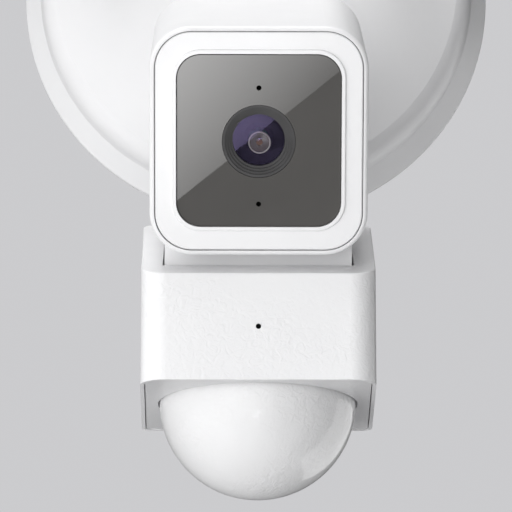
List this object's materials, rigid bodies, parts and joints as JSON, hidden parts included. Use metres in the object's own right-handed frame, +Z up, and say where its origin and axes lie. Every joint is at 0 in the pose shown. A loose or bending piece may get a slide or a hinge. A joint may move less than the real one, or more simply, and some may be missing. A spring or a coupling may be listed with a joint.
{
  "type": "floodlight security camera",
  "caption": "Wall floodlight with a swivelling square camera, a wedge-shaped motion sensor with a dome lens under it, and two round adjustable LED heads on elbow arms.",
  "frame": {"origin": "centre of the base's back, on the wall plane, midway between the two junction box screws", "axes": "+Y into the wall, +Z up, +X to the right of someone who faces the front"},
  "size_m": [0.28, 0.1235, 0.2269],
  "materials": {
    "white_plastic": "satin moulded white, UV-stable",
    "rippled_white": "satin moulded white with a slight orange peel",
    "white_gloss": "gloss white",
    "white_metal": "white powder coat",
    "grey_plastic": "matt light grey",
    "dome_plastic": "milky, satin",
    "frosted_lens": "frosted, translucent",
    "black_glass": "gloss black, smoked",
    "lens_glass": "coated lens",
    "black_plastic": "matt black",
    "steel": "zinc plated",
    "screw_steel": "stainless",
    "green_screw": "green",
    "nickel_can": "nickel plated",
    "rubber": "matt",
    "grey_rubber": "matt grey",
    "circuit_board": "solder mask",
    "black_board": "black solder mask",
    "led_board": "white solder mask",
    "led": "phosphor"
  },
  "bodies": {
    "base": {"wall_gasket": "rubber", "mounting_bracket": "steel", "ground_screw": "green_screw", "base_housing": "white_plastic", "base_rear_cover": "grey_plastic", "base_case_screws": "steel", "base_mounting_screws": "screw_steel", "wire_grommet": "rubber", "power_board": "circuit_board", "power_transformer": "black_plastic", "power_capacitors": "black_plastic", "siren": "black_plastic", "pivot_bracket": "white_plastic", "pan_pin": "screw_steel"},
    "right_light_arm": {"right_arm": "white_metal", "right_arm_locknut": "steel", "right_arm_end_cap": "white_plastic"},
    "right_light_head": {"right_head_housing": "white_metal", "right_tilt_lock_screw": "screw_steel", "right_led_board": "led_board", "right_leds": "led", "right_diffuser": "frosted_lens", "right_head_seal": "rubber", "right_head_bezel": "white_plastic", "right_head_screws": "screw_steel"},
    "left_light_arm": {"left_arm": "white_metal", "left_arm_locknut": "steel", "left_arm_end_cap": "white_plastic"},
    "left_light_head": {"left_head_housing": "white_metal", "left_tilt_lock_screw": "screw_steel", "left_led_board": "led_board", "left_leds": "led", "left_diffuser": "frosted_lens", "left_head_seal": "rubber", "left_head_bezel": "white_plastic", "left_head_screws": "screw_steel"},
    "swivel": {"pan_yoke": "white_plastic"},
    "camera": {"tilt_pin": "screw_steel", "camera_mount": "white_plastic", "camera_screws": "steel", "camera_shell": "white_plastic", "front_frame": "white_gloss", "front_glass": "black_glass", "lens_trim_ring": "black_plastic", "lens_barrel": "black_plastic", "front_lens": "lens_glass", "lens_iris": "steel", "image_sensor_board": "circuit_board", "infrared_led_board": "black_board", "main_board": "circuit_board", "speaker": "black_plastic", "sensor_dock": "white_plastic"},
    "button": {"sync_button": "grey_rubber"},
    "motion_sensor": {"sensor_shell": "rippled_white", "sensor_base_plate": "rippled_white", "dome_lens": "dome_plastic", "sensor_hinge_pin": "screw_steel", "pir_board": "circuit_board", "pyro_sensor": "nickel_can", "daylight_sensor": "black_plastic"}
  },
  "joints": [
    {"name": "right_arm_swivel", "type": "hinge", "parent": "base", "child": "right_light_arm", "pos_m": [0.036, -0.027, 0.024], "axis": [0, -1, 0], "range_deg": [-10, 50]},
    {"name": "left_arm_swivel", "type": "hinge", "parent": "base", "child": "left_light_arm", "pos_m": [-0.036, -0.027, 0.024], "axis": [0, 1, 0], "range_deg": [-10, 50]},
    {"name": "right_head_tilt", "type": "hinge", "parent": "right_light_arm", "child": "right_light_head", "pos_m": [0.092, -0.05, 0.024], "axis": [-1, 0, 0], "range_deg": [-30, 40]},
    {"name": "left_head_tilt", "type": "hinge", "parent": "left_light_arm", "child": "left_light_head", "pos_m": [-0.092, -0.05, 0.024], "axis": [-1, 0, 0], "range_deg": [-30, 40]},
    {"name": "camera_pan", "type": "hinge", "parent": "base", "child": "swivel", "pos_m": [0, -0.0356, -0.04177], "axis": [0, 0, 1], "range_deg": [-50, 50]},
    {"name": "camera_tilt", "type": "hinge", "parent": "swivel", "child": "camera", "pos_m": [0, -0.05124, -0.04177], "axis": [-1, 0, 0], "range_deg": [-15, 25]},
    {"name": "sensor_tilt", "type": "hinge", "parent": "camera", "child": "motion_sensor", "pos_m": [0, -0.05187, -0.08519], "axis": [1, 0, 0], "range_deg": [0, 20]},
    {"name": "sync_button_press", "type": "slide", "parent": "camera", "child": "button", "axis": [0, -0.8988, -0.4384], "range_m": [0, 0.0008], "stiffness_N_per_m": 600, "springref_m": -0.0008}
  ]
}
